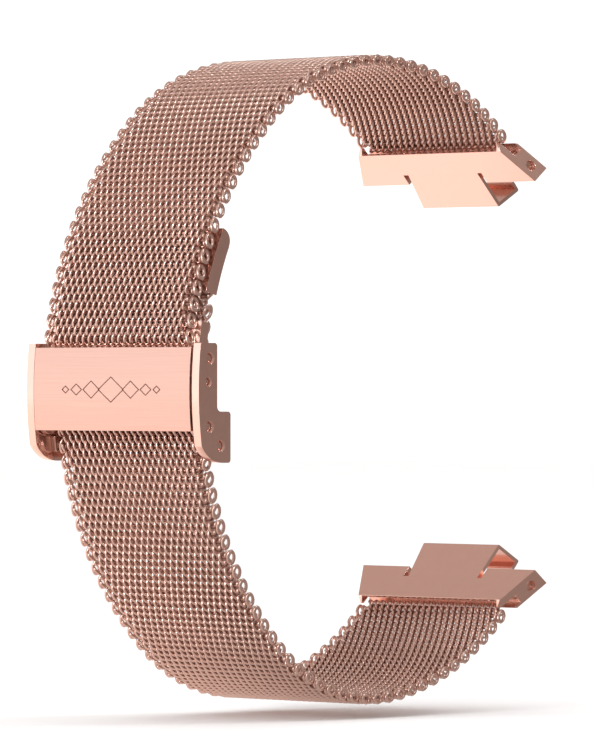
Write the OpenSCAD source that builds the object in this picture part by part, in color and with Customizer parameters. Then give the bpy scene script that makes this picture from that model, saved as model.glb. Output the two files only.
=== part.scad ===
// Milanese mesh watch strap: two mesh bands, a fold-over sliding clasp,
// and an angular lug bar with a hinged spring-bar hook at each end.
// X runs across the band, Z is up, the clasp lies at -Y and the watch case at +Y.

/* [Band] */
// Width of the woven band over its edge loops
band_w = 20.4; // [16:0.2:24]
// Thickness of the woven band
band_t = 1.1; // [0.9:0.05:1.4]
// Free space between the outer band and the tail that lies under it
layer_gap = 0.8; // [0.75:0.05:1.2]
// Clear gap between neighbouring band sections at a bend line
bend_gap = 0.3; // [0.2:0.05:0.6]

/* [Loop] */
// Height between the corners of the two lug bars
lug_gap = 46.1; // [38:0.1:56]
// Distance from the loop centre to the corner of a lug bar
lug_reach = 19; // [15:0.5:24]
// Distance from the loop centre to the tail, measured at the clasp
clasp_reach = 23.1; // [20:0.1:29]
// Radius of the tail where it runs through the clasp
clasp_arc_r = 35.9; // [31:0.1:44]
// How far the clasp arc's centre lies below the middle of the lug gap
arc_drop = 1.5; // [0:0.1:3]
// Angle of the clasp arc that each band follows before it bends more
arc_angle = 46; // [40:1:50]
// Angle of the tail above the arc's centre, up to its tip
tail_angle = 26; // [20:0.5:27]
// Angle of the upper band's first bend line
upper_bend_angle = 27.8; // [27:0.1:32]
// Angle of the lower band's first bend line
lower_bend_angle = 25; // [22:0.5:30]

/* [Lug bar] */
// Angle of the lug bar's inner face below the horizontal
lug_tilt = 46.3; // [40:0.1:52]
// Length of the lug bar's inner face
lug_face = 4.23; // [3.8:0.05:5]
// Thickness of the lug bar
lug_t = 2.17; // [1.8:0.05:2.6]
// Half width of the lug bar at its band side
lug_half_w = 10.4; // [8.4:0.1:12.2]
// How much further each end reaches at the watch side
lug_flare = 2.2; // [0:0.1:3]
// Depth of the slot that holds the band
slot_depth = 1.4; // [0.8:0.1:1.5]
// Radius of the cross pin
lug_pin_r = 0.5; // [0.4:0.02:0.6]

/* [Lug hook] */
// Thickness of the hook's sheet
hook_t = 0.38; // [0.3:0.02:0.46]
// Half width of the hook at its hinge
hook_half_w = 5.05; // [4:0.05:6]
// How much wider each side of the hook is at its fold
hook_flare = 0.41; // [0:0.01:0.6]
// Gap between the hook and each side of its pocket
hook_side_gap = 0.45; // [0.2:0.05:0.8]

/* [Clasp] */
// Thickness of each side plate
plate_t = 1; // [0.7:0.05:1.2]
// Free space from the band's edge to a side plate
side_room = 1.45; // [1.35:0.05:2]
// Height of the side plate above the loop's middle plane
plate_top = 3.2; // [2.9:0.1:4]
// Depth of the side plate below the loop's middle plane
plate_bottom = 8.6; // [8.4:0.1:10]
// Thickness of the cover plate
cover_t = 0.55; // [0.4:0.05:0.7]
// Clear gap between the cover and each side plate
cover_side_gap = 0.2; // [0.1:0.05:0.4]
// Radius of the hook bar and the cover's hinge pin
bar_r = 0.42; // [0.38:0.01:0.46]
// Radius of the lock lever's pin
lever_pin_r = 0.3; // [0.25:0.01:0.33]
// Thickness of the clasp's sheet parts
sheet_t = 0.35; // [0.25:0.01:0.4]

/* [Hidden] */
$fn = 96;
eps = 0.01;
// How far joined lengths of one band section run into each other
overlap = 0.05;

rose = [0.86, 0.62, 0.55];
rose_dark = [0.72, 0.49, 0.43];
mesh_rose = [0.78, 0.55, 0.48];

// Running clearance of every hinge
run_gap = 0.04;

// Clasp arc: every layer in the clasp is concentric with the tail
arc_y = clasp_arc_r - clasp_reach;
arc_z = -arc_drop;
tail_r = clasp_arc_r;
upper_r = tail_r + band_t + layer_gap;
tail_out = tail_r + band_t / 2;
tail_in = tail_r - band_t / 2;
upper_in = upper_r - band_t / 2;

// Band ends and bend lines along the clasp arc
upper_foot_z = plate_top + 0.2;
upper_foot_angle = asin((upper_foot_z - arc_z) / upper_r);
nose_r = band_t / 2;

// Lug bar profile: v runs along its inner face, u through its thickness
pin_to_edge = 1.18;
pin_depth = 1.02;
knuckle_gap = 0.07;
pocket_gap = 0.08;
lug_pin_v = lug_face - pin_to_edge;
lug_pin_u = lug_t - pin_depth;
knuckle_r = lug_pin_u - knuckle_gap;
slot_wall = 0.25;
lip_t = 0.3;
ear_w = 0.55;
fit_gap = 0.06;
tongue_t = band_t - fit_gap;
tongue_w = band_w - fit_gap;
slot_u = lug_t - slot_wall - band_t / 2;
lug_edge_lean = 0.14;
lug_nose = [-0.61, 0.27 * lug_t];
lug_shoulder = 0.82;
lug_profile = [
    [0, 0], [lug_face, 0], [lug_face + lug_edge_lean, lug_t],
    [lug_shoulder, lug_t], lug_nose
];
// How far each end of the cross pin lies inside the bar's slanted side
lug_pin_inset = 0.35;

// Lug hook profile, as the middle line of its sheet
hook_fold_v = lug_face + 2.97;
hook_back_v = lug_face + 3.7;
hook_lip_v = lug_face + 2.85;
hook_depth = 3;
hook_points = [
    [lug_pin_v, lug_pin_u - knuckle_r + hook_t / 2],
    [hook_fold_v, -0.1],
    [hook_back_v, hook_depth - 0.05],
    [hook_lip_v, hook_depth]
];

// Clasp widths and pin places, each pin as [y, z]
plate_in = band_w / 2 + side_room;
plate_out = plate_in + plate_t;
front_r = tail_r + 2.5;
cover_in = tail_out + 1.55;
pin_recess = 0.25;
sink = 0.16;
tail_gap = 0.12;
lever_wall = 0.2;
lever_barrel_r = lever_pin_r + lever_wall;
hook_bar_pos = pin_at(tail_out + bar_r + tail_gap, plate_top - 1.5);
lever_pos = pin_at(tail_out + lever_barrel_r + tail_gap, plate_top - 3.82);
cover_pin_pos = pin_at(tail_out + bar_r + 0.22, 3.56 - plate_bottom);
rivet_pos = pin_at(tail_r - 0.05, 1.7 - plate_bottom);
rivet_r = 0.42;
ear_t = 0.7;
floor_gap = 0.3;
floor_t = 0.5;
floor_out = tail_in - floor_gap;

// Heights of the cover and of the hook plate
cover_top = plate_top - 0.4;
cover_bottom = cover_pin_pos[1] - 0.46;
cover_ear_wall = 0.45;
cover_ear_h = 1.6;
hook_plate_top = plate_top + 2.2;

// Lever under the cover
lever_w = band_w - 0.8;
lever_reach = 3.1;

// Channel that carries the upper band's end
hook_neck_w = band_w + 0.8;
hook_neck_t = 0.3;
hook_plate_w = band_w + 2;
hook_flange_h = 1.05;
hook_bar_gap = 0.05;
hook_start = 130;
hook_end = 275;

// Point on a circle round the clasp arc's centre, at a height z
function pin_at(r, z) = [arc_y - sqrt(r * r - pow(z - arc_z, 2)), z];
// Angle above the arc's centre of a height z on radius r
function angle_at(r, z) = asin((z - arc_z) / r);

// The two-arc curve from the clasp arc to a lug slot. It is worked out for a band
// that runs upwards, and side is 1 for the upper band and -1 for the lower band.
function polar(a) = [cos(a), sin(a)];
function arc_centre(side) = [arc_y, side * arc_z];
function start_point(r, side) = arc_centre(side) + r * polar(180 - arc_angle);
function start_heading() = polar(90 - arc_angle);
function lug_corner() = [lug_reach, lug_gap / 2];
function slot_mouth() = lug_corner() + slot_u * polar(90 - lug_tilt);
function end_heading() = polar(-lug_tilt);
function biarc_length(v, t1, t2) =
    let (k = 2 * (1 - t1 * t2), b = v * (t1 + t2))
    (-b + sqrt(b * b + k * (v * v))) / k;
function middle_point(p1, p2, t1, t2) =
    let (d = biarc_length(p2 - p1, t1, t2))
    (p1 + p2 + d * (t1 - t2)) / 2;
// Signed radius of the arc that leaves p along t and reaches q, turning to its right
function arc_radius(p, t, q) =
    let (n = [t[1], -t[0]])
    ((q - p) * (q - p)) / (2 * (n * (q - p)));
// Each arc of the path is [centre, radius, start angle, turn, start length]
function direction_angle(v) = atan2(v[1], v[0]);
function band_path(r, side, foot) =
    let (
        p1 = start_point(r, side),
        p2 = slot_mouth(),
        t1 = start_heading(),
        t2 = end_heading(),
        pm = middle_point(p1, p2, t1, t2),
        r1 = arc_radius(p1, t1, pm),
        c1 = p1 + r1 * [t1[1], -t1[0]],
        turn1 = angle_between(p1 - c1, pm - c1),
        r2 = arc_radius(p2, -t2, pm),
        c2 = p2 + r2 * [-t2[1], t2[0]],
        turn2 = angle_between(pm - c2, p2 - c2),
        s1 = (arc_angle - foot) * r * PI / 180,
        s2 = s1 + turn1 * r1 * PI / 180
    )
    [
        [arc_centre(side), r, 180 - foot, arc_angle - foot, 0],
        [c1, r1, direction_angle(p1 - c1), turn1, s1],
        [c2, abs(r2), direction_angle(pm - c2), turn2, s2]
    ];
function angle_between(a, b) = acos((a * b) / (norm(a) * norm(b)));
function arc_length(arc) = arc[1] * arc[3] * PI / 180;
function path_length(path) = path[2][4] + arc_length(path[2]);
function arc_index(path, s) = s < path[1][4] ? 0 : s < path[2][4] ? 1 : 2;
function path_angle(path, s) =
    let (arc = path[arc_index(path, s)])
    arc[2] - (s - arc[4]) / arc[1] * 180 / PI;
function path_point(path, s) =
    let (arc = path[arc_index(path, s)])
    arc[0] + arc[1] * polar(path_angle(path, s));

// Section lengths: the first bend line, then two more that share what is left
upper_path = band_path(upper_r, 1, upper_foot_angle);
lower_foot_angle = lower_bend_angle;
lower_path = band_path(tail_r, -1, lower_foot_angle);
upper_first = (upper_bend_angle - upper_foot_angle) * upper_r * PI / 180;
upper_step = (path_length(upper_path) - upper_first) / 3;
upper_bends = [for (k = [0:2]) upper_first + k * upper_step];
lower_step = path_length(lower_path) / 3;
lower_bends = [for (k = [0:2]) k * lower_step];

// Extrudes a (Y, Z) outline across the band, centred on X
module across(w) {
    rotate([90, 0, 90])
        linear_extrude(w, center = true)
            children();
}

// Ring sector about an X axis; angles run from +Y towards +Z
module ring(centre, r0, r1, w, a0, a1) {
    translate([0, centre[0], centre[1]])
        rotate([90, 0, 90])
            rotate_extrude(angle = a1 - a0, start = a0)
                translate([r0, -w / 2])
                    square([r1 - r0, w]);
}

// Ring sector about the clasp arc's centre, between two heights
module clasp_ring(r0, r1, w, z0, z1) {
    a0 = 180 - angle_at(r1, z1);
    a1 = 180 - angle_at(r1, z0);
    ring([arc_y, arc_z], r0, r1, w, a0, a1);
}

module pin_x(pos, r, w) {
    translate([0, pos[0], pos[1]])
        rotate([0, 90, 0])
            cylinder(r = r, h = w, center = true);
}

// Straight strip of sheet from p to q with round ends, as an outline
module strip(p, q, t) {
    d = q - p;
    translate(p)
        rotate(direction_angle(d))
            translate([0, -t / 2])
                square([norm(d), t]);
    translate(p)
        circle(d = t);
    translate(q)
        circle(d = t);
}

// ---- Woven bands ----

// Solid length of band between two places on its path
module band_run(path, s0, s1) {
    for (arc = path) {
        from = max(s0, arc[4] - overlap);
        to = min(s1, arc[4] + arc_length(arc));
        if (to > from + eps) {
            a_hi = arc[2] - (from - arc[4]) / arc[1] * 180 / PI;
            a_lo = arc[2] - (to - arc[4]) / arc[1] * 180 / PI;
            ring(arc[0], arc[1] - band_t / 2, arc[1] + band_t / 2, band_w, a_lo, a_hi);
        }
    }
}

// Round end of a section, on its bend line
module band_nose(path, s) {
    pin_x(path_point(path, s), nose_r, band_w);
}

// Section that starts past bend line s0 and ends in a nose on bend line s1
module band_section(path, s0, s1) {
    color(mesh_rose) {
        band_run(path, s0 + nose_r + bend_gap, s1);
        band_nose(path, s1);
    }
}

// Last section, which ends in the lug bar's slot
module band_last(path, s0) {
    color(mesh_rose) {
        band_run(path, s0 + nose_r + bend_gap, path_length(path));
        lug_frame()
            translate([-tongue_w / 2, -2 * overlap, slot_u - tongue_t / 2])
                cube([tongue_w, slot_depth - eps + 2 * overlap, tongue_t]);
    }
}

module upper_band_base() {
    color(mesh_rose) {
        band_run(upper_path, 0, upper_bends[0]);
        band_nose(upper_path, upper_bends[0]);
    }
}

module upper_band_rise() {
    band_section(upper_path, upper_bends[0], upper_bends[1]);
}

module upper_band_crown() {
    band_section(upper_path, upper_bends[1], upper_bends[2]);
}

module upper_band_end() {
    band_last(upper_path, upper_bends[2]);
}

module tail_band() {
    color(mesh_rose) {
        ring([arc_y, arc_z], tail_in, tail_out, band_w,
             180 - tail_angle + tail_cap_wall_angle, 180 + lower_bend_angle);
        mirror([0, 0, 1])
            band_nose(lower_path, 0);
    }
}

module lower_band_rise() {
    mirror([0, 0, 1])
        band_section(lower_path, lower_bends[0], lower_bends[1]);
}

module lower_band_crown() {
    mirror([0, 0, 1])
        band_section(lower_path, lower_bends[1], lower_bends[2]);
}

module lower_band_end() {
    mirror([0, 0, 1])
        band_last(lower_path, lower_bends[2]);
}

// ---- Tail end cap ----

tail_cap_wall = 0.18;
tail_cap_wall_angle = 1.6;
tail_cap_angle = 10.5;
tail_cap_w = band_w + 0.4;
tip_round = 1.3;

// Folded sheet over the tail's end, rounded off on the wrist side
module tail_cap() {
    a0 = 180 - tail_angle;
    r_in = tail_in - tail_cap_wall;
    r_out = tail_out + tail_cap_wall;
    color(rose)
        difference() {
            ring([arc_y, arc_z], r_in, r_out, tail_cap_w, a0, a0 + tail_cap_angle);
            ring([arc_y, arc_z], tail_in, tail_out, band_w,
                 a0 + tail_cap_wall_angle, a0 + tail_cap_angle + 1);
            translate([0, arc_y, arc_z])
                rotate([90, 0, 90])
                    linear_extrude(tail_cap_w + 1, center = true)
                        tip_corner(a0, r_in);
        }
}

// What is cut away to round the tip's inner corner
module tip_corner(a, r) {
    rotate(a)
        translate([r, 0])
            difference() {
                translate([-1, -1])
                    square([1 + tip_round, 1 + tip_round]);
                translate([tip_round, tip_round])
                    circle(r = tip_round);
            }
}

// ---- Lug bar, pin and hook ----

// Places the lug bar's own axes: X across, Y along its inner face, Z outwards
module lug_frame() {
    corner = lug_corner();
    translate([0, corner[0], corner[1]])
        rotate([-lug_tilt, 0, 0])
            children();
}

// Half width of the bar at a distance v along its face
function lug_half(v) = lug_half_w + lug_flare * v / lug_face;

// Slot of a width that is cut from the band's side, from height u0 up to the slot's top
module lug_slot(w, u0) {
    translate([-w / 2, -2, u0])
        cube([w, slot_depth + 2, slot_u + band_t / 2 - u0]);
}

// Bar with a slot for the band, which is open at both ends and thin-lipped between the
// two end ears, and with a pocket for the hook
module lug_bar() {
    v0 = -2;
    v1 = lug_face + 2;
    pocket_half = hook_half_w + hook_side_gap + hook_flare / 2;
    color(rose)
        lug_frame()
            difference() {
                intersection() {
                    across(2 * lug_half(v1))
                        polygon(lug_profile);
                    translate([0, 0, -1])
                        linear_extrude(lug_t + 2)
                            polygon([
                                [-lug_half(v0), v0], [lug_half(v0), v0],
                                [lug_half(v1), v1], [-lug_half(v1), v1]
                            ]);
                }
                lug_slot(2 * lug_half(v1), slot_u - band_t / 2);
                lug_slot(2 * (lug_half_w - ear_w), lip_t);
                translate([ear_w - lug_half_w, v0, -1])
                    cube([2 * (lug_half_w - ear_w), -v0, lug_t]);
                pin_x([lug_pin_v, lug_pin_u], knuckle_r + pocket_gap, 2 * pocket_half);
                translate([-pocket_half, lug_pin_v, -1])
                    cube([2 * pocket_half, 3, lug_t + 2]);
                pin_x([lug_pin_v, lug_pin_u], lug_pin_r, 4 * lug_half_w);
            }
}

// Domed cross pin, a little below the bar's slanted end faces
module lug_pin() {
    half = lug_half(lug_pin_v) - lug_pin_inset;
    color(rose_dark)
        lug_frame()
            pin_x([lug_pin_v, lug_pin_u], lug_pin_r, 2 * half);
}

// Rolled sheet hook that turns on the cross pin and takes the watch's spring bar
module lug_hook() {
    far_v = hook_back_v + 1;
    wide = hook_half_w + hook_flare;
    color(rose)
        lug_frame()
            difference() {
                intersection() {
                    across(2 * wide) {
                        translate([lug_pin_v, lug_pin_u])
                            circle(r = knuckle_r);
                        for (i = [0:2])
                            strip(hook_points[i], hook_points[i + 1], hook_t);
                    }
                    translate([0, 0, -2])
                        linear_extrude(8)
                            polygon([
                                [-hook_half_w, 0], [hook_half_w, 0],
                                [hook_half_w, lug_pin_v], [wide, hook_fold_v],
                                [wide, far_v], [-wide, far_v],
                                [-wide, hook_fold_v], [-hook_half_w, lug_pin_v]
                            ]);
                }
                pin_x([lug_pin_v, lug_pin_u], lug_pin_r + run_gap, 4 * wide);
            }
}

module upper_lug_bar() {
    lug_bar();
}

module upper_lug_pin() {
    lug_pin();
}

module upper_lug_hook() {
    lug_hook();
}

module lower_lug_bar() {
    mirror([0, 0, 1])
        lug_bar();
}

module lower_lug_pin() {
    mirror([0, 0, 1])
        lug_pin();
}

module lower_lug_hook() {
    mirror([0, 0, 1])
        lug_hook();
}

// ---- Clasp ----

// Outline of a side plate, seen along X
front_y = arc_y - front_r;
neck_y = -clasp_reach;
tab_y = neck_y + 1.8;
tab_top = cover_pin_pos[1] + 1.49;
toe_r = 3.2;
plate_corner_r = 0.35;
neck_fillet_r = 0.5;

module plate_outline() {
    intersection() {
        translate([arc_y, arc_z])
            circle(r = front_r, $fn = 360);
        union() {
            rounded_box([front_y - overlap, -plate_bottom], [neck_y, plate_top],
                        plate_corner_r);
            rounded_box([neck_y - 1, -plate_bottom], [tab_y, tab_top], plate_corner_r);
            inner_corner([neck_y, tab_top], neck_fillet_r);
        }
        toe_limit();
    }
}

// Keeps the lower front corner round
module toe_limit() {
    union() {
        translate([front_y + toe_r, -plate_bottom])
            square([10, 20]);
        translate([front_y - 1, -plate_bottom + toe_r])
            square([12, 20]);
        translate([front_y + toe_r, -plate_bottom + toe_r])
            circle(r = toe_r);
    }
}

// Box with round corners between two opposite corners
module rounded_box(low, high, r) {
    size = high - low;
    translate(low + [r, 0])
        square([size[0] - 2 * r, size[1]]);
    translate(low + [0, r])
        square([size[0], size[1] - 2 * r]);
    for (x = [r, size[0] - r], y = [r, size[1] - r])
        translate(low + [x, y])
            circle(r = r);
}

// Concave fillet in the corner between the neck and the tab
module inner_corner(p, r) {
    difference() {
        translate(p - [eps, eps])
            square([r + eps, r + eps]);
        translate(p + [r, r])
            circle(r = r);
    }
}

// Side plate for one side of the clasp; side is 1 or -1
module side_plate(side) {
    color(rose)
        difference() {
            translate([side * (plate_in + plate_out) / 2, 0, 0])
                across(plate_t)
                    plate_outline();
            for (pin = [[hook_bar_pos, bar_r], [lever_pos, lever_pin_r],
                        [cover_pin_pos, bar_r], [rivet_pos, rivet_r]]) {
                pin_x(pin[0], pin[1], 3 * plate_out);
                translate([side * plate_out, pin[0][0], pin[0][1]])
                    rotate([0, -side * 90, 0])
                        cylinder(r1 = pin[1] + sink, r2 = pin[1], h = sink);
            }
        }
}

module side_plate_left() {
    side_plate(-1);
}

module side_plate_right() {
    side_plate(1);
}

// Plate behind the tail, with an ear riveted to each side plate
module floor_plate() {
    floor_in = floor_out - floor_t;
    z0 = -plate_bottom + 0.3;
    z1 = tab_top - 0.25;
    color(rose_dark)
        difference() {
            union() {
                clasp_ring(floor_in, floor_out, 2 * plate_in, z0, z1);
                for (side = [-1, 1])
                    translate([side * (plate_in - ear_t / 2), 0, 0])
                        clasp_ring(floor_in, tail_r + 0.55, ear_t, rivet_pos[1] - 0.8,
                                   rivet_pos[1] + 0.8);
            }
            pin_x(rivet_pos, rivet_r, 3 * plate_out);
        }
}

module floor_rivets() {
    color(rose_dark)
        for (side = [-1, 1])
            translate([side * (plate_in - ear_t + plate_out - pin_recess) / 2, 0, 0])
                pin_x(rivet_pos, rivet_r, plate_t + ear_t - pin_recess);
}

module hook_bar() {
    color(rose_dark)
        pin_x(hook_bar_pos, bar_r, 2 * (plate_out - pin_recess));
}

module lever_pin() {
    color(rose_dark)
        pin_x(lever_pos, lever_pin_r, 2 * (plate_out - pin_recess));
}

module cover_pin() {
    color(rose_dark)
        pin_x(cover_pin_pos, bar_r, 2 * (plate_out - pin_recess));
}

// Bowed cover that turns on its lower pin
module clasp_cover() {
    half = plate_in - cover_side_gap;
    ear_r = bar_r + cover_ear_wall;
    color(rose)
        difference() {
            union() {
                clasp_ring(cover_in, cover_in + cover_t, 2 * half, cover_bottom, cover_top);
                for (side = [-1, 1])
                    translate([side * (half - ear_t / 2), 0, 0])
                        across(ear_t) {
                            translate(cover_pin_pos)
                                circle(r = ear_r);
                            translate([arc_y - cover_in - 0.1, cover_pin_pos[1]])
                                square([cover_pin_pos[0] + cover_in - arc_y + 0.6,
                                        cover_ear_h]);
                        }
            }
            pin_x(cover_pin_pos, bar_r + run_gap, 3 * plate_out);
        }
}

// Lever that turns on its own pin under the cover and grips the tail
module lock_lever() {
    lever_in = tail_out + tail_gap + eps;
    color(rose_dark)
        difference() {
            union() {
                pin_x(lever_pos, lever_barrel_r, lever_w);
                clasp_ring(lever_in, lever_in + sheet_t, lever_w,
                           lever_pos[1] - lever_reach, lever_pos[1]);
            }
            pin_x(lever_pos, lever_pin_r + run_gap, 3 * plate_out);
        }
}

// Channel that carries the upper band's end and hooks over the hook bar
module hook_plate() {
    hook_in = bar_r + hook_bar_gap;
    hook_mid = hook_in + hook_neck_t / 2;
    foot_z = plate_top + overlap;
    shoulder = pin_at(upper_in - sheet_t / 2, foot_z);
    color(rose_dark) {
        clasp_ring(upper_in - sheet_t, upper_in, hook_plate_w, foot_z, hook_plate_top);
        for (side = [-1, 1])
            translate([side * (hook_plate_w - sheet_t) / 2, 0, 0])
                clasp_ring(upper_in - hook_flange_h, upper_in, sheet_t, foot_z,
                           hook_plate_top);
        across(hook_neck_w)
            strip(shoulder, hook_bar_pos + hook_mid * polar(hook_start), hook_neck_t);
        ring(hook_bar_pos, hook_in, hook_in + hook_neck_t, hook_neck_w, hook_start,
             hook_end);
    }
}

side_plate_left();
side_plate_right();
floor_plate();
floor_rivets();
hook_bar();
lever_pin();
cover_pin();
clasp_cover();
lock_lever();
hook_plate();
upper_band_base();
upper_band_rise();
upper_band_crown();
upper_band_end();
upper_lug_bar();
upper_lug_pin();
upper_lug_hook();
tail_band();
tail_cap();
lower_band_rise();
lower_band_crown();
lower_band_end();
lower_lug_bar();
lower_lug_pin();
lower_lug_hook();
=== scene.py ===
"""Milanese watch strap: woven wire bands, fold-over clasp and hinged lug hooks."""

import math

import bmesh
import bpy
from bpy.props import FloatProperty, FloatVectorProperty, IntProperty, PointerProperty
from mathutils import Matrix, Vector


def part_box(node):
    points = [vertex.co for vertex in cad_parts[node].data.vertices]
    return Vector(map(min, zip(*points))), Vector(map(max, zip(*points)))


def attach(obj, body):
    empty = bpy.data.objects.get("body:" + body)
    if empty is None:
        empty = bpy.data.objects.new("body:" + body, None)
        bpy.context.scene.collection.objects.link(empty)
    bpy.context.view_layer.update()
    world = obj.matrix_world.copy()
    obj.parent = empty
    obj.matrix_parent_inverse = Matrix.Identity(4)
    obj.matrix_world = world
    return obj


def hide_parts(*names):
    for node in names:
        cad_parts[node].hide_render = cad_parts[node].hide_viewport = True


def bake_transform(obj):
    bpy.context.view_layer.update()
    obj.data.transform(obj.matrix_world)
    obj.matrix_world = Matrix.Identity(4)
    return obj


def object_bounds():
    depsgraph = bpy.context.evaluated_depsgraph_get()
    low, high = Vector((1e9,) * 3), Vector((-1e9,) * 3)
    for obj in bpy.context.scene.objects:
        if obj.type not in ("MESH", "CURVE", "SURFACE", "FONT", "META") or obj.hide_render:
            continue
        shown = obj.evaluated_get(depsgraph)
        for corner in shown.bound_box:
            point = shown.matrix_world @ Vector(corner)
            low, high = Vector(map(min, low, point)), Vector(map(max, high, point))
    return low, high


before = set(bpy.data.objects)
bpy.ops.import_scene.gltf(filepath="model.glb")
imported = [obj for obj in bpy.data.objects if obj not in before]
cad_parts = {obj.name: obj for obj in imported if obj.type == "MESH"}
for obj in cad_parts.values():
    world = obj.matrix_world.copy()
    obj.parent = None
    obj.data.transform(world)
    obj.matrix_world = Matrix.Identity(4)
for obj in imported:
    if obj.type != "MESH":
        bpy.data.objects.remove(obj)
cad_box = [list(corner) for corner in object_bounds()]

bl_info = {
    "name": "Milanese watch strap",
    "version": (1, 0, 0),
    "blender": (4, 5, 0),
    "location": "View3D > Sidebar > Strap",
    "description": "Builds the woven bands, clasp and lug bars of a mesh watch strap",
    "category": "Add Mesh",
}

MM = 0.001


def span(node, axis):
    """Size of a CAD node along one axis."""
    low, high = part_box(node)
    return high[axis] - low[axis]


# ---- Sizes and colours ----


class StrapSizes(bpy.types.PropertyGroup):
    """Sizes that place and shape the strap's pieces."""

    band_w: FloatProperty(
        name="Band width", description="Width of the woven band, less its rings' overhang",
        default=span("tail_band", 0), unit="LENGTH", precision=5)
    band_t: FloatProperty(
        name="Band thickness", description="Thickness of the woven band",
        default=1.1 * MM, unit="LENGTH", precision=5)
    layer_gap: FloatProperty(
        name="Layer gap", description="Free space between the outer band and the tail",
        default=0.8 * MM, unit="LENGTH", precision=5)
    clasp_arc_r: FloatProperty(
        name="Clasp arc radius", description="Radius of the tail inside the clasp",
        default=35.9 * MM, unit="LENGTH", precision=5)
    clasp_reach: FloatProperty(
        name="Clasp reach", description="Distance from the loop's centre to the tail",
        default=23.1 * MM, unit="LENGTH", precision=5)
    arc_drop: FloatProperty(
        name="Arc drop", description="How far the clasp arc's centre lies below the middle",
        default=1.5 * MM, unit="LENGTH", precision=5)
    arc_angle: FloatProperty(
        name="Arc angle", description="Angle of the clasp arc that each band follows",
        default=math.radians(46), subtype="ANGLE")
    upper_foot_z: FloatProperty(
        name="Upper band foot", description="Height at which the upper band starts",
        default=3.4 * MM, unit="LENGTH", precision=5)
    upper_bend_angle: FloatProperty(
        name="Upper bend", description="Angle of the upper band's first bend line",
        default=math.radians(27.8), subtype="ANGLE")
    lower_bend_angle: FloatProperty(
        name="Lower bend", description="Angle of the lower band's first bend line",
        default=math.radians(25), subtype="ANGLE")
    tail_angle: FloatProperty(
        name="Tail angle", description="Angle of the tail's tip above the arc's centre",
        default=math.radians(26), subtype="ANGLE")
    lug_gap: FloatProperty(
        name="Lug gap", description="Height between the corners of the two lug bars",
        default=46.1 * MM, unit="LENGTH", precision=5)
    lug_reach: FloatProperty(
        name="Lug reach", description="Distance from the loop's centre to a lug corner",
        default=19 * MM, unit="LENGTH", precision=5)
    lug_tilt: FloatProperty(
        name="Lug tilt", description="Angle of a lug bar's inner face below level",
        default=math.radians(46.3), subtype="ANGLE")
    slot_u: FloatProperty(
        name="Slot height", description="From the lug's inner face to its slot's middle",
        default=1.37 * MM, unit="LENGTH", precision=5)


class WeaveSizes(bpy.types.PropertyGroup):
    """Sizes of the woven wire."""

    wire_d: FloatProperty(
        name="Wire diameter", description="Diameter of the woven wire",
        default=0.34 * MM, unit="LENGTH", precision=5)
    core_d: FloatProperty(
        name="Core diameter", description="Diameter of the rod inside each coil",
        default=0.44 * MM, unit="LENGTH", precision=5)
    proud: FloatProperty(
        name="Ring overhang", description="How far edge rings stand out of the plain band",
        default=0.5 * MM, unit="LENGTH", precision=5)
    depth: FloatProperty(
        name="Weave depth", description="Thickness of the weave over its wires",
        default=1.16 * MM, unit="LENGTH", precision=5)
    row_pitch: FloatProperty(
        name="Row pitch", description="Distance between rows along the band",
        default=0.83 * MM, unit="LENGTH", precision=5)
    turns: IntProperty(
        name="Turns", description="Turns of wire in a full row", default=23, min=2)
    coil_half_h: FloatProperty(
        name="Coil half height", description="Half of a coil's height along the band",
        default=0.6 * MM, unit="LENGTH", precision=5)
    front_drift: FloatProperty(
        name="Front drift", description="Sideways run of each front strand",
        default=0.1 * MM, unit="LENGTH", precision=5)
    ring_r: FloatProperty(
        name="Ring radius", description="Radius of the wire ring that ends each row",
        default=0.45 * MM, unit="LENGTH", precision=5)
    ring_long: FloatProperty(
        name="Ring length", description="Length of an edge ring as a share of its height",
        default=1.45, min=1.0, max=2.0)
    ring_turn: FloatProperty(
        name="Ring turn", description="How far an edge ring is turned out of the edge",
        default=math.radians(16), subtype="ANGLE", unit="ROTATION")


class StrapColours(bpy.types.PropertyGroup):
    """Colours of the plated metal and the stage."""

    polished: FloatVectorProperty(
        name="Polished plate", description="Colour of the polished faces",
        default=(0.95, 0.66, 0.58), size=3, min=0, max=1, subtype="COLOR")
    brushed: FloatVectorProperty(
        name="Brushed plate", description="Colour of the brushed cover",
        default=(0.9, 0.61, 0.53), size=3, min=0, max=1, subtype="COLOR")
    # Darker than the polished plate: painted shade on the parts inside the clasp, which
    # also have a rougher finish.
    satin_and_shade: FloatVectorProperty(
        name="Satin plate", description="Colour of the parts inside the clasp",
        default=(0.75, 0.48, 0.4), size=3, min=0, max=1, subtype="COLOR")
    wire: FloatVectorProperty(
        name="Wire", description="Colour of the woven wire",
        default=(0.98, 0.74, 0.66), size=3, min=0, max=1, subtype="COLOR")
    # Dark colour of the rods inside the coils: painted shade in the gaps between the wires.
    core: FloatVectorProperty(
        name="Core", description="Colour of the rods inside the weave",
        default=(0.5, 0.28, 0.23), size=3, min=0, max=1, subtype="COLOR")
    # Dark colour of the lozenge lines: painted shade standing in for the shadow in cut
    # grooves.
    engraving_shade: FloatVectorProperty(
        name="Engraving", description="Colour of the engraved lines",
        default=(0.2, 0.1, 0.08), size=3, min=0, max=1, subtype="COLOR")
    surround: FloatVectorProperty(
        name="Surroundings", description="Colour that the metal reflects",
        default=(1.0, 0.8, 0.72), size=3, min=0, max=1, subtype="COLOR")
    floor: FloatVectorProperty(
        name="Floor", description="Colour of the floor",
        default=(0.95, 0.95, 0.95), size=3, min=0, max=1, subtype="COLOR")


# ---- Shader building ----


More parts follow.
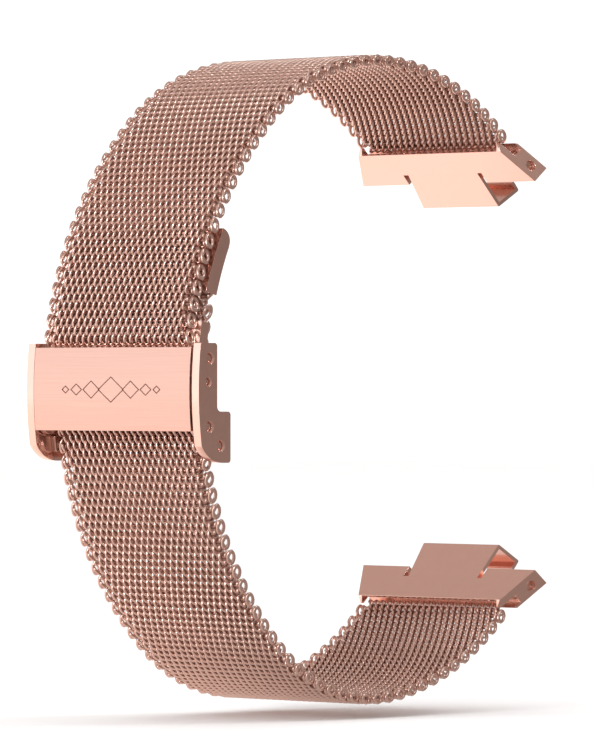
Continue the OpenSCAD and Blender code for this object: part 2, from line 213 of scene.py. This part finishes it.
class Value:
    """A socket that adds Math nodes when it is used in arithmetic."""

    def __init__(self, graph, socket):
        self.graph = graph
        self.socket = socket

    def _math(self, operation, a, b):
        return self.graph.node("ShaderNodeMath", {"operation": operation}, {0: a, 1: b})

    def __add__(self, other):
        return self._math("ADD", self, other)

    __radd__ = __add__

    def __sub__(self, other):
        return self._math("SUBTRACT", self, other)

    def __rsub__(self, other):
        return self._math("SUBTRACT", other, self)

    def __mul__(self, other):
        return self._math("MULTIPLY", self, other)

    __rmul__ = __mul__


class Graph:
    """Node tree of one material or world, emptied and built up."""

    def __init__(self, owner):
        owner.use_nodes = True
        self.tree = owner.node_tree
        self.tree.nodes.clear()

    def node(self, kind, settings=None, inputs=None, out=0):
        """Adds a node, sets it up, then fills its sockets with values or links."""
        made = self.tree.nodes.new(kind)
        for name, value in (settings or {}).items():
            setattr(made, name, value)
        for key, value in (inputs or {}).items():
            if isinstance(value, Value):
                self.tree.links.new(value.socket, made.inputs[key])
            else:
                made.inputs[key].default_value = value
        return Value(self, made.outputs[out]) if made.outputs else None


def rgba(colour, shade=1.0):
    """A colour times a shade, with full alpha."""
    return (*(min(1.0, c * shade) for c in colour), 1)


# A Mix node's colour sockets, which share their names with its other kinds
COLOUR_A, COLOUR_B, COLOUR_OUT = 6, 7, 2


def mix_colours(graph, mask, a, b):
    """Colour a where the mask is 0 and b where it is 1."""
    return graph.node(
        "ShaderNodeMix", {"data_type": "RGBA"}, {0: mask, COLOUR_A: a, COLOUR_B: b},
        out=COLOUR_OUT)


def grain(graph, scale, stretch, detail=3.0):
    """Noise on the object's own coordinates, stretched by three scales."""
    place = graph.node("ShaderNodeTexCoord", out="Object")
    turned = graph.node("ShaderNodeMapping", None, {"Vector": place, "Scale": stretch})
    return graph.node(
        "ShaderNodeTexNoise", None, {"Vector": turned, "Scale": scale, "Detail": detail})


def metal(name, colour, roughness, rough_range, dark, noise, bump):
    """Plated metal. Its grain varies the colour, down to a dark share of it, and the
    roughness. noise is the grain's scale, stretch and detail, and bump is the strength
    and depth that it has on the surface."""
    material = bpy.data.materials.new(name)
    graph = Graph(material)
    mark = grain(graph, *noise)
    base = mix_colours(graph, mark, rgba(colour, dark), rgba(colour))
    normal = graph.node(
        "ShaderNodeBump", None, {"Strength": bump[0], "Distance": bump[1], "Height": mark})
    shader = graph.node("ShaderNodeBsdfPrincipled", None, {
        "Base Color": base, "Metallic": 1.0,
        "Roughness": roughness - rough_range / 2 + mark * rough_range, "Normal": normal})
    graph.node("ShaderNodeOutputMaterial", None, {"Surface": shader})
    return material


def make_materials(colours):
    """Every finish of the strap, by name."""
    even = (1, 1, 1)
    streaks = (0.012, 1, 1)
    fine = 0.01 * MM
    coarse = 0.02 * MM
    return {
        "polished": metal(
            "polished_rose", colours.polished, roughness=0.2, rough_range=0.08,
            dark=0.94, noise=(900, even), bump=(0.04, coarse)),
        "brushed": metal(
            "brushed_rose", colours.brushed, roughness=0.36, rough_range=0.2,
            dark=0.72, noise=(9000, streaks, 5.0), bump=(0.25, fine)),
        # The parts inside the clasp: plating colour darkened as painted shade, and rougher.
        "satin_and_shade": metal(
            "satin_shaded_rose", colours.satin_and_shade, roughness=0.38, rough_range=0.12,
            dark=0.8, noise=(3000, even), bump=(0.1, fine)),
        "pins": metal(
            "pin_rose", colours.polished, roughness=0.18, rough_range=0.1,
            dark=0.85, noise=(2500, even), bump=(0.08, fine)),
        "wire": metal(
            "rose_wire", colours.wire, roughness=0.3, rough_range=0.14,
            dark=0.8, noise=(2600, even), bump=(0.06, fine)),
        # Rods inside the coils, dark as painted shade in the weave's gaps.
        "core": metal(
            "shade_painted_rod", colours.core, roughness=0.4, rough_range=0.1,
            dark=0.8, noise=(2600, even), bump=(0.05, fine)),
        # Lozenge lines, dark as painted shade of cut grooves.
        "engraved": metal(
            "engraved_line_shade", colours.engraving_shade, roughness=0.5, rough_range=0.1,
            dark=0.8, noise=(4000, even), bump=(0.05, fine)),
    }


def finish(key):
    """One of the strap's materials, made the first time that it is asked for."""
    if not finishes:
        finishes.update(make_materials(bpy.context.scene.strap_colours))
    return finishes[key]


finishes = {}


# ---- Mesh helpers ----


def piece(name, bm, key, smooth=True):
    """Turns a bmesh into a finished object with its material and slot."""
    mesh = bpy.data.meshes.new(name)
    bm.to_mesh(mesh)
    bm.free()
    mesh.polygons.foreach_set("use_smooth", [smooth] * len(mesh.polygons))
    mesh.materials.append(finish(key))
    made = bpy.data.objects.new(name, mesh)
    bpy.context.scene.collection.objects.link(made)
    return made


MERGE_DISTANCE = 0.002 * MM
FLAT_ANGLE = math.radians(0.3)
CORNER_ANGLE = math.radians(28)
# A face whose normal leans less than this from the X axis is kept flat
SIDE_FACE = 0.9999


def even_shading(made):
    """Keeps large faces flat beside their rounded edges."""
    weighted = made.modifiers.new("even_shading", "WEIGHTED_NORMAL")
    weighted.weight = 100
    weighted.keep_sharp = True


def merged_copy(node):
    """A CAD node's shape as a bmesh with its loose triangles joined up."""
    bm = bmesh.new()
    bm.from_mesh(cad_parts[node].data)
    bmesh.ops.remove_doubles(bm, verts=bm.verts, dist=MERGE_DISTANCE)
    bmesh.ops.dissolve_limit(
        bm, angle_limit=FLAT_ANGLE, verts=bm.verts, edges=bm.edges)
    return bm


def round_edges(bm, width, segments):
    """Rounds every edge that is sharper than the corner angle."""
    sharp = [
        e for e in bm.edges if e.is_manifold and e.calc_face_angle(0) > CORNER_ANGLE]
    bmesh.ops.bevel(
        bm, geom=sharp, offset=width, offset_type="OFFSET", segments=segments,
        profile=0.5, affect="EDGES", clamp_overlap=True, material=-1)


def dressed(node, name, key, edge, body):
    """Makes a metal piece in a CAD node's shape, with rounded edges."""
    bm = merged_copy(node)
    round_edges(bm, *edge)
    made = piece(name, bm, key)
    for face in made.data.polygons:
        face.use_smooth = abs(face.normal.x) < SIDE_FACE
    even_shading(made)
    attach(made, body)
    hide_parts(node)


# ---- Band path ----


def polar(angle):
    """Unit vector at an angle."""
    return Vector((math.cos(angle), math.sin(angle)))


def right_of(v):
    """A vector turned a quarter turn clockwise."""
    return Vector((v.y, -v.x))


class BandPath:
    """Middle line of a band in the (Y, Z) plane: the clasp arc, then two arcs that meet
    smoothly and end at the lug bar's slot. The lower band is worked out upwards and
    mirrored in Z when it is placed."""

    def __init__(self, sizes, radius, side, foot):
        centre = Vector((sizes.clasp_arc_r - sizes.clasp_reach, -side * sizes.arc_drop))
        p1 = centre + radius * polar(math.pi - sizes.arc_angle)
        t1 = polar(math.pi / 2 - sizes.arc_angle)
        corner = Vector((sizes.lug_reach, sizes.lug_gap / 2))
        p2 = corner + sizes.slot_u * polar(math.pi / 2 - sizes.lug_tilt)
        t2 = polar(-sizes.lug_tilt)
        v = p2 - p1
        k = 2 * (1 - t1.dot(t2))
        b = v.dot(t1 + t2)
        d = (math.sqrt(b * b + k * v.dot(v)) - b) / k
        pm = (p1 + p2 + d * (t1 - t2)) / 2
        self.side = side
        self.arcs = [(centre, radius, math.pi - foot, sizes.arc_angle - foot, 0.0)]
        self.add_arc(p1, t1, pm)
        angle = self.arcs[1][2] - self.arcs[1][3]
        self.add_arc(pm, Vector((math.sin(angle), -math.cos(angle))), p2)
        self.length = self.arcs[2][4] + self.arcs[2][1] * self.arcs[2][3]

    def add_arc(self, p, t, q):
        """Adds the clockwise arc that leaves p along t and reaches q."""
        inward = right_of(t)
        v = q - p
        radius = v.dot(v) / (2 * inward.dot(v))
        centre = p + radius * inward
        a, b = p - centre, q - centre
        turn = math.acos(a.dot(b) / (a.length * b.length))
        last = self.arcs[-1]
        start = last[4] + last[1] * last[3]
        self.arcs.append((centre, radius, math.atan2(a.y, a.x), turn, start))

    def place(self, s):
        """Middle line point, heading and outward direction at a distance s."""
        run = min(s, self.length)
        centre, radius, start, _, s0 = [
            arc for arc in self.arcs if run >= arc[4] or arc is self.arcs[0]][-1]
        angle = start - (run - s0) / radius
        heading = Vector((math.sin(angle), -math.cos(angle)))
        point = centre + radius * polar(angle) + (s - run) * heading
        return point, heading, polar(angle)

    def point(self, s):
        """Place of the middle line at s, as a point of the row frame."""
        at = self.place(s)[0]
        return Vector((0, at.x, self.side * at.y))

    def matrix(self, s):
        """Carries (across, along, outward) to the band's place at s."""
        at, heading, outward = self.place(s)
        made = Matrix.Identity(4)
        made.col[1] = (0, heading.x, self.side * heading.y, 0)
        made.col[2] = (0, outward.x, self.side * outward.y, 0)
        made.col[3] = (0, at.x, self.side * at.y, 1)
        return made


# ---- Weave ----

WIRE_SIDES = 6
BEND_STEPS = 4
RING_STEPS = 14

# Half length of a straight strand, as a share of the coil's half height
STRAIGHT_SHARE = 0.45
# A front strand bows outwards in two runs, and shares its drift with the bend after it
BOW = 0.06
RISE_DRIFT, RISE_RUN = 0.25, 1.1
FALL_DRIFT, FALL_RUN = 0.45, 0.9
TOP_DRIFT = 0.3
# A back strand shares its drift with the bends before and after it
BEND_DRIFT = 0.15
BACK_DRIFT = 0.7

# Where the first row of the upper band and of the tail lies, from its start
UPPER_START = 0.35 * MM
TAIL_START = 1.9 * MM
# How far rows run on into the lug bar's slot
LUG_OVERRUN = 0.5 * MM
# Edge rings start this far past the tail cap's height
CAP_OVERRUN = 1.1 * MM


def strand(bm, ring, move):
    """Carries an open wire end along a straight strand."""
    made = bmesh.ops.extrude_edge_only(bm, edges=ring)["geom"]
    verts = [g for g in made if isinstance(g, bmesh.types.BMVert)]
    bmesh.ops.translate(bm, vec=move, verts=verts)
    return [g for g in made if isinstance(g, bmesh.types.BMEdge)
            and g.is_boundary and all(v in verts for v in g.verts)]


def turn_wire(bm, ring, centre, axis, angle, drift):
    """Carries an open wire end round a bend, drifting along the bend's axis."""
    made = bmesh.ops.spin(
        bm, geom=ring, cent=centre, axis=axis, dvec=Vector(drift) / BEND_STEPS,
        angle=angle, steps=BEND_STEPS, use_merge=False)["geom_last"]
    return [g for g in made if isinstance(g, bmesh.types.BMEdge)]


def wire_end(bm, at, facing, radius):
    """Starts a wire: a ring at a point, facing along the wire."""
    turn = Vector((0, 0, 1)).rotation_difference(Vector(facing)).to_matrix().to_4x4()
    made = bmesh.ops.create_circle(
        bm, segments=WIRE_SIDES, radius=radius, matrix=Matrix.Translation(at) @ turn)
    return list({e for v in made["verts"] for e in v.link_edges})


def coil_row(weave, turns):
    """One row of the weave: a flat coil of wire whose axis lies across the band, with a
    rod inside it that is coloured dark as painted shade in the weave's gaps. Across is X,
    along the band is Y and outwards is Z."""
    radius = weave.wire_d / 2
    bend_r = weave.depth / 2 - radius
    straight = weave.coil_half_h * STRAIGHT_SHARE
    pitch = (weave_width(weave) - weave.wire_d) / weave.turns
    back_drift = pitch - weave.front_drift
    front_drift = weave.front_drift
    x = -pitch * turns / 2
    bm = bmesh.new()
    ring = wire_end(bm, (x, -straight, bend_r), (0, 1, 0), radius)
    for _ in range(turns):
        ring = strand(
            bm, ring, (RISE_DRIFT * front_drift, RISE_RUN * straight, BOW * bend_r))
        ring = strand(
            bm, ring, (FALL_DRIFT * front_drift, FALL_RUN * straight, -BOW * bend_r))
        ring = turn_wire(
            bm, ring, (x, straight, 0), (1, 0, 0), -math.pi,
            (TOP_DRIFT * front_drift + BEND_DRIFT * back_drift, 0, 0))
        ring = strand(bm, ring, (BACK_DRIFT * back_drift, -2 * straight, 0))
        ring = turn_wire(
            bm, ring, (x, -straight, 0), (1, 0, 0), -math.pi,
            (BEND_DRIFT * back_drift, 0, 0))
        x += pitch
    bmesh.ops.holes_fill(bm, edges=bm.edges, sides=WIRE_SIDES)
    squeeze = weave.coil_half_h / (straight + bend_r)
    bmesh.ops.scale(bm, vec=(1, squeeze, 1), verts=bm.verts)
    half = pitch * turns / 2 - weave.wire_d
    woven = len(bm.faces)
    # The rod inside the coil takes the second, dark material: painted shade.
    core = wire_end(bm, (-half, 0, 0), (1, 0, 0), weave.core_d / 2)
    strand(bm, core, (2 * half, 0, 0))
    bm.faces.ensure_lookup_table()
    for face in bm.faces[woven:]:
        face.material_index = 1
    bmesh.ops.holes_fill(bm, edges=bm.edges, sides=WIRE_SIDES)
    bmesh.ops.recalc_face_normals(bm, faces=bm.faces)
    return as_mesh(bm)


def edge_ring(weave, side):
    """The ring that ends a row: a closed oval of wire at the band's edge, long along the
    band and turned a little about the outward direction."""
    bm = bmesh.new()
    radius = weave.wire_d / 2
    wire_end(bm, (0, 0, weave.ring_r), (0, 1, 0), radius)
    geom = bm.verts[:] + bm.edges[:]
    bmesh.ops.spin(
        bm, geom=geom, cent=(0, 0, 0), axis=(1, 0, 0), angle=-2 * math.pi,
        steps=RING_STEPS, use_merge=True)
    lean = Matrix.Rotation(weave.ring_turn, 4, "Z")
    reach = weave.ring_r * weave.ring_long * math.sin(weave.ring_turn) + radius
    place = bpy.context.scene.strap_sizes.band_w / 2 + weave.proud - reach
    stretch = Matrix.Diagonal((1, weave.ring_long, 1, 1))
    bmesh.ops.transform(
        bm, matrix=Matrix.Translation((place, 0, 0)) @ lean @ stretch, verts=bm.verts)
    if side < 0:
        bmesh.ops.rotate(
            bm, verts=bm.verts, matrix=Matrix.Rotation(math.pi, 3, "Z"))
    bmesh.ops.recalc_face_normals(bm, faces=bm.faces)
    return as_mesh(bm)


def weave_width(weave):
    """Width of the coils between the middles of the edge rings."""
    return bpy.context.scene.strap_sizes.band_w + 2 * (weave.proud - weave.ring_r)


def as_mesh(bm):
    """Turns a bmesh into a small mesh that is laid many times."""
    mesh = bpy.data.meshes.new("template")
    bm.to_mesh(mesh)
    bm.free()
    return mesh


def lay(bm, mesh, matrix):
    """Adds a copy of a small mesh at a place."""
    first = len(bm.verts)
    bm.from_mesh(mesh)
    bm.verts.ensure_lookup_table()
    bmesh.ops.transform(bm, matrix=matrix, verts=bm.verts[first:])


def woven_run(name, path, first_s, s0, s1, ring_s=-math.inf):
    """The rows and edge rings of one band between two distances on its path. Rows are
    counted from first_s, so that the weave goes on evenly from run to run. Rows up to
    ring_s have no edge rings."""
    weave = bpy.context.scene.strap_weave
    full = coil_row(weave, weave.turns)
    short = coil_row(weave, weave.turns - 1)
    rings = [edge_ring(weave, side) for side in (-1, 1)]
    bm = bmesh.new()
    row = math.ceil((s0 - first_s) / weave.row_pitch)
    while first_s + row * weave.row_pitch < s1:
        s = first_s + row * weave.row_pitch
        lay(bm, short if row % 2 else full, path.matrix(s))
        for ring in rings if row % 2 == 0 and s > ring_s else ():
            lay(bm, ring, path.matrix(s))
        row += 1
    if path.side < 0:
        bmesh.ops.reverse_faces(bm, faces=bm.faces)
    for mesh in (full, short, *rings):
        bpy.data.meshes.remove(mesh)
    made = piece(name, bm, "wire")
    # The second slot darkens the rods inside the coils as painted shade.
    made.data.materials.append(finish("core"))
    return made


def upper_path(sizes):
    """Path of the upper band, and the distances of its bend lines."""
    radius = sizes.clasp_arc_r + sizes.band_t + sizes.layer_gap
    foot = math.asin((sizes.upper_foot_z + sizes.arc_drop) / radius)
    path = BandPath(sizes, radius, 1, foot)
    first = (sizes.upper_bend_angle - foot) * radius
    step = (path.length - first) / 3
    return path, [first + k * step for k in range(4)]


def lower_path(sizes):
    """Path of the lower band from its first bend line, and its bend lines."""
    path = BandPath(sizes, sizes.clasp_arc_r, -1, sizes.lower_bend_angle)
    return path, [k * path.length / 3 for k in range(4)]


def bending_run(name, path, first_s, s0, s1, turn0, turn1, nodes):
    """A run of weave between two distances on a band's path, curved along the path."""
    made = woven_run(name, path, first_s, s0, s1)
    path.point(turn0)
    path.point(turn1)
    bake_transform(made)
    if nodes:
        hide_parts(*nodes)


class STRAP_OT_upper_weave(bpy.types.Operator):
    """Weave the upper band from the clasp to its lug bar"""

    bl_idname = "strap.upper_weave"
    bl_label = "Upper band"

    def execute(self, context):
        path, bends = upper_path(context.scene.strap_sizes)
        first_s = UPPER_START
        end = path.length + LUG_OVERRUN
        halves = [(a + b) / 2 for a, b in zip([0] + bends[:3], bends)]
        bending_run(
            "upper_weave_foot", path, first_s,
            first_s, halves[1], halves[0], halves[1], ("upper_band_base",))
        bending_run(
            "upper_weave_rise", path, first_s,
            halves[1], halves[2], halves[1], halves[2], ("upper_band_rise",))
        bending_run(
            "upper_weave_crown", path, first_s,
            halves[2], end, halves[2], halves[3], ("upper_band_crown", "upper_band_end"))
        return {"FINISHED"}


class STRAP_OT_lower_weave(bpy.types.Operator):
    """Weave the lower band from the tail's tip to its lug bar"""

    bl_idname = "strap.lower_weave"
    bl_label = "Lower band and tail"

    def execute(self, context):
        sizes = context.scene.strap_sizes
        path, bends = lower_path(sizes)
        tip = -(sizes.tail_angle + sizes.lower_bend_angle) * sizes.clasp_arc_r
        first_s = tip + TAIL_START
        end = path.length + LUG_OVERRUN
        halves = [(a + b) / 2 for a, b in zip(bends, bends[1:])]
        tail_end = -halves[0]
        cap_end = tip + span("tail_cap", 2) + CAP_OVERRUN
        tail = woven_run("tail_weave", path, first_s, first_s, tail_end, cap_end)
        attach(tail, "tail")
        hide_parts("tail_band")
        bending_run(
            "lower_weave_foot", path, first_s,
            tail_end, halves[0], tail_end, halves[0], ())
        bending_run(
            "lower_weave_rise", path, first_s,
            halves[0], halves[1], halves[0], halves[1], ("lower_band_rise",))
        bending_run(
            "lower_weave_crown", path, first_s,
            halves[1], end, halves[1], halves[2], ("lower_band_crown", "lower_band_end"))
        return {"FINISHED"}


# ---- Metal parts ----

# Width of the rounded edges, and the segments across them
LUG_EDGE = 0.07 * MM, 2
LUG_PIN_EDGE = 0.14 * MM, 3
PLATE_EDGE = 0.13 * MM, 3
PIN_EDGE = 0.12 * MM, 3
FLOOR_EDGE = 0.06 * MM, 2
SHEET_EDGE = 0.05 * MM, 2
COVER_EDGE = 0.22 * MM, 4
CAP_EDGE = 0.08 * MM, 3


class STRAP_OT_lug_bars(bpy.types.Operator):
    """Make both lug bars with their cross pins and folded hooks"""

    bl_idname = "strap.lug_bars"
    bl_label = "Lug bars"

    def execute(self, context):
        for side in ("upper", "lower"):
            dressed(f"{side}_lug_bar", f"{side}_lug_body", "polished",
                    LUG_EDGE, f"{side}_end")
            dressed(f"{side}_lug_pin", f"{side}_lug_cross_pin", "pins",
                    LUG_PIN_EDGE, f"{side}_end")
            dressed(f"{side}_lug_hook", f"{side}_lug_clip", "polished",
                    SHEET_EDGE, f"{side}_hook")
        return {"FINISHED"}


class STRAP_OT_side_plates(bpy.types.Operator):
    """Make the clasp's two side plates"""

    bl_idname = "strap.side_plates"
    bl_label = "Side plates"

    def execute(self, context):
        for side in ("left", "right"):
            dressed(f"side_plate_{side}", f"side_plate_{side}_shell", "polished",
                    PLATE_EDGE, "clasp")
        return {"FINISHED"}


class STRAP_OT_clasp_inside(bpy.types.Operator):
    """Make the pins, floor, lever and hook plate of the clasp"""

    bl_idname = "strap.clasp_inside"
    bl_label = "Clasp inside"

    def execute(self, context):
        for node in ("hook_bar", "lever_pin", "cover_pin", "floor_rivets"):
            dressed(node, f"{node}_domed", "pins", PIN_EDGE, "clasp")
        # The floor plate and lever take the darkened colour, painted shade inside the
        # clasp.
        dressed("floor_plate", "floor_plate_sheet", "satin_and_shade",
                FLOOR_EDGE, "clasp")
        dressed("hook_plate", "hook_plate_sheet", "polished",
                SHEET_EDGE, "clasp")
        dressed("lock_lever", "lock_lever_sheet", "satin_and_shade",
                SHEET_EDGE, "lever")
        return {"FINISHED"}


# The lozenges are thin lines whose dark colour is painted shade in place of cut grooves.
ENGRAVED_LINE = 0.07 * MM
ENGRAVED_RELIEF = 0.03 * MM
ENGRAVED_HEIGHT = -1.4 * MM
# Lozenges from the cover's middle outwards: place, half width and half height, in mm
LOZENGES = ((0, 1.9, 1.3), (2.9, 1.25, 0.9), (5.1, 0.85, 0.6), (6.7, 0.55, 0.4))


def lozenge(bm, x, half_w, half_h):
    """Outline of a lozenge, drawn flat round (x, 0)."""
    made = bmesh.ops.create_circle(
        bm, cap_ends=True, segments=4, radius=1,
        matrix=Matrix.Translation((x, 0, 0)) @ Matrix.Diagonal((half_w, half_h, 1, 1)))
    middle = made["verts"][0].link_faces[0]
    bmesh.ops.inset_region(
        bm, faces=[middle], thickness=ENGRAVED_LINE, use_boundary=True,
        use_even_offset=True)
    bmesh.ops.delete(bm, geom=[middle], context="FACES")


def wrap_on_cover(bm, height, sizes):
    """Bends a flat drawing onto the cover's bowed face, centred at a height."""
    arc_y = sizes.clasp_arc_r - sizes.clasp_reach
    radius = arc_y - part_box("clasp_cover")[0].y
    for v in bm.verts:
        z = height + v.co.y
        out = math.sqrt((radius + v.co.z) ** 2 - (z + sizes.arc_drop) ** 2)
        v.co = (v.co.x, arc_y - out, z)


class STRAP_OT_clasp_cover(bpy.types.Operator):
    """Make the bowed cover and its engraved lozenge row"""

    bl_idname = "strap.clasp_cover"
    bl_label = "Clasp cover"

    def execute(self, context):
        dressed("clasp_cover", "clasp_cover_plate", "brushed",
                COVER_EDGE, "cover")
        bm = bmesh.new()
        for place, half_w, half_h in LOZENGES:
            for x in {place, -place}:
                lozenge(bm, x * MM, half_w * MM, half_h * MM)
        bmesh.ops.solidify(bm, geom=bm.faces[:], thickness=-ENGRAVED_RELIEF)
        bmesh.ops.subdivide_edges(bm, edges=bm.edges[:], cuts=3, use_grid_fill=True)
        wrap_on_cover(bm, ENGRAVED_HEIGHT, context.scene.strap_sizes)
        bmesh.ops.recalc_face_normals(bm, faces=bm.faces)
        made = piece("cover_engraving", bm, "engraved", smooth=False)
        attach(made, "cover")
        return {"FINISHED"}


class STRAP_OT_tail_cap(bpy.types.Operator):
    """Make the folded cap on the tail's tip"""

    bl_idname = "strap.tail_cap"
    bl_label = "Tail cap"

    def execute(self, context):
        dressed("tail_cap", "tail_cap_shell", "polished",
                CAP_EDGE, "tail")
        return {"FINISHED"}


# ---- Stage ----

VIEW_TURN = math.radians(46)
VIEW_DISTANCE = 683 * MM
VIEW_AIM = Vector((0, 0, -0.2 * MM))
SENSOR = 36
LENS = 319.2

FLOOR_DROP = 1.5 * MM
FLOOR_HALF = 1.5
# What the floor shows in reflections: its dimmest strength, what the left side adds, where
# that starts and how fast it grows to the left, a metre
FLOOR_DIM, FLOOR_GAIN, FLOOR_START, FLOOR_SLOPE = 0.32, 1.1, 0.3, 14
# What the surroundings show: seen directly, and their middle and range in reflections
WORLD_SEEN, WORLD_MIDDLE, WORLD_RANGE = 1.15, 0.34, 0.2


def soft_light(name, place, size, power):
    """A square soft light that faces the strap."""
    data = bpy.data.lights.new(name, "AREA")
    data.size = size
    data.energy = power
    made = bpy.data.objects.new(name, data)
    made.location = place
    made.rotation_euler = (VIEW_AIM - place).to_track_quat("-Z", "Y").to_euler()
    bpy.context.scene.collection.objects.link(made)


def studio_world(left_and_up):
    """White surroundings that reflect as a warm grey, lighter from the left and above."""
    world = bpy.data.worlds.new("studio")
    bpy.context.scene.world = world
    graph = Graph(world)
    toward = graph.node("ShaderNodeTexCoord", out="Generated")
    share = graph.node(
        "ShaderNodeVectorMath", {"operation": "DOT_PRODUCT"}, {0: toward, 1: left_and_up},
        out="Value")
    white = graph.node(
        "ShaderNodeBackground", None, {"Color": (1, 1, 1, 1), "Strength": WORLD_SEEN})
    soft = graph.node("ShaderNodeBackground", None, {
        "Color": rgba(bpy.context.scene.strap_colours.surround),
        "Strength": WORLD_MIDDLE + WORLD_RANGE * share})
    glossy = graph.node("ShaderNodeLightPath", out="Is Glossy Ray")
    both = graph.node("ShaderNodeMixShader", None, {0: glossy, 1: white, 2: soft})
    graph.node("ShaderNodeOutputWorld", None, {"Surface": both})


def view_camera(back):
    """The camera that looks level at the strap from the side that back points to."""
    data = bpy.data.cameras.new("camera")
    data.sensor_width = SENSOR
    data.lens = LENS
    camera = bpy.data.objects.new("camera", data)
    camera.location = VIEW_AIM + VIEW_DISTANCE * back
    camera.rotation_euler = (-back).to_track_quat("-Z", "Y").to_euler()
    bpy.context.scene.collection.objects.link(camera)
    bpy.context.scene.camera = camera


def floor_material(colours):
    """Pale floor, which reflections show as a warm grey that is lighter to the left."""
    material = bpy.data.materials.new("pale_floor")
    graph = Graph(material)
    shader = graph.node("ShaderNodeBsdfPrincipled", None, {
        "Base Color": rgba(colours.floor), "Roughness": 0.7})
    across = graph.node(
        "ShaderNodeVectorMath", {"operation": "DOT_PRODUCT"},
        {0: graph.node("ShaderNodeTexCoord", out="Object"), 1: (-FLOOR_SLOPE, 0, 0)},
        out="Value")
    left = graph.node("ShaderNodeClamp", None, {"Value": across + FLOOR_START})
    reflected = graph.node("ShaderNodeEmission", None, {
        "Color": rgba(colours.surround), "Strength": FLOOR_DIM + left * FLOOR_GAIN})
    glossy = graph.node("ShaderNodeLightPath", out="Is Glossy Ray")
    both = graph.node("ShaderNodeMixShader", None, {0: glossy, 1: shader, 2: reflected})
    graph.node("ShaderNodeOutputMaterial", None, {"Surface": both})
    return material


def pale_floor(colours):
    """The floor, a little below the strap."""
    bm = bmesh.new()
    level = cad_box[0][2] - FLOOR_DROP
    bmesh.ops.create_grid(
        bm, x_segments=1, y_segments=1, size=FLOOR_HALF,
        matrix=Matrix.Translation((0, 0, level)))
    mesh = bpy.data.meshes.new("floor")
    bm.to_mesh(mesh)
    bm.free()
    mesh.materials.append(floor_material(colours))
    floor = bpy.data.objects.new("floor", mesh)
    bpy.context.scene.collection.objects.link(floor)


class STRAP_OT_stage(bpy.types.Operator):
    """Set up the floor, the soft lights and the camera"""

    bl_idname = "strap.stage"
    bl_label = "Stage"

    def execute(self, context):
        right = Vector((math.cos(VIEW_TURN), math.sin(VIEW_TURN), 0))
        back = Vector((math.sin(VIEW_TURN), -math.cos(VIEW_TURN), 0))
        up = Vector((0, 0, 1))
        view_camera(back)
        pale_floor(context.scene.strap_colours)
        soft_light("left_fill", -1.0 * right + 0.15 * back - 0.2 * up, size=1.2, power=4.2)
        soft_light("key_light", -0.55 * right + 0.8 * back + 0.3 * up, size=0.25, power=3.4)
        soft_light("back_light", 0.6 * right + 0.1 * back + 0.8 * up, size=0.16, power=1.1)
        studio_world(-0.6 * right + 0.8 * up)
        context.scene.view_settings.view_transform = "Standard"
        return {"FINISHED"}


# ---- Add-on ----


class STRAP_PT_panel(bpy.types.Panel):
    """Lists the strap's pieces and settings"""

    bl_label = "Mesh strap"
    bl_idname = "STRAP_PT_panel"
    bl_space_type = "VIEW_3D"
    bl_region_type = "UI"
    bl_category = "Strap"

    def draw(self, context):
        scene = context.scene
        for group in (scene.strap_sizes, scene.strap_weave, scene.strap_colours):
            for name in group.bl_rna.properties.keys():
                if name not in ("rna_type", "name"):
                    self.layout.prop(group, name)
        for operator in OPERATORS:
            self.layout.operator(operator.bl_idname)


GROUPS = {
    "strap_sizes": StrapSizes,
    "strap_weave": WeaveSizes,
    "strap_colours": StrapColours,
}
OPERATORS = (
    STRAP_OT_upper_weave, STRAP_OT_lower_weave, STRAP_OT_lug_bars, STRAP_OT_side_plates,
    STRAP_OT_clasp_inside, STRAP_OT_clasp_cover, STRAP_OT_tail_cap, STRAP_OT_stage,
)


def register():
    for name, group in GROUPS.items():
        bpy.utils.register_class(group)
        setattr(bpy.types.Scene, name, PointerProperty(type=group))
    for cls in (*OPERATORS, STRAP_PT_panel):
        bpy.utils.register_class(cls)


def unregister():
    for cls in (STRAP_PT_panel, *reversed(OPERATORS)):
        bpy.utils.unregister_class(cls)
    for name, group in GROUPS.items():
        delattr(bpy.types.Scene, name)
        bpy.utils.unregister_class(group)


def main():
    """Builds every piece."""
    register()
    bpy.ops.strap.upper_weave()
    bpy.ops.strap.lower_weave()
    bpy.ops.strap.lug_bars()
    bpy.ops.strap.side_plates()
    bpy.ops.strap.clasp_inside()
    bpy.ops.strap.clasp_cover()
    bpy.ops.strap.tail_cap()
    bpy.ops.strap.stage()
    bpy.context.view_layer.update()


if __name__ == "__main__":
    main()
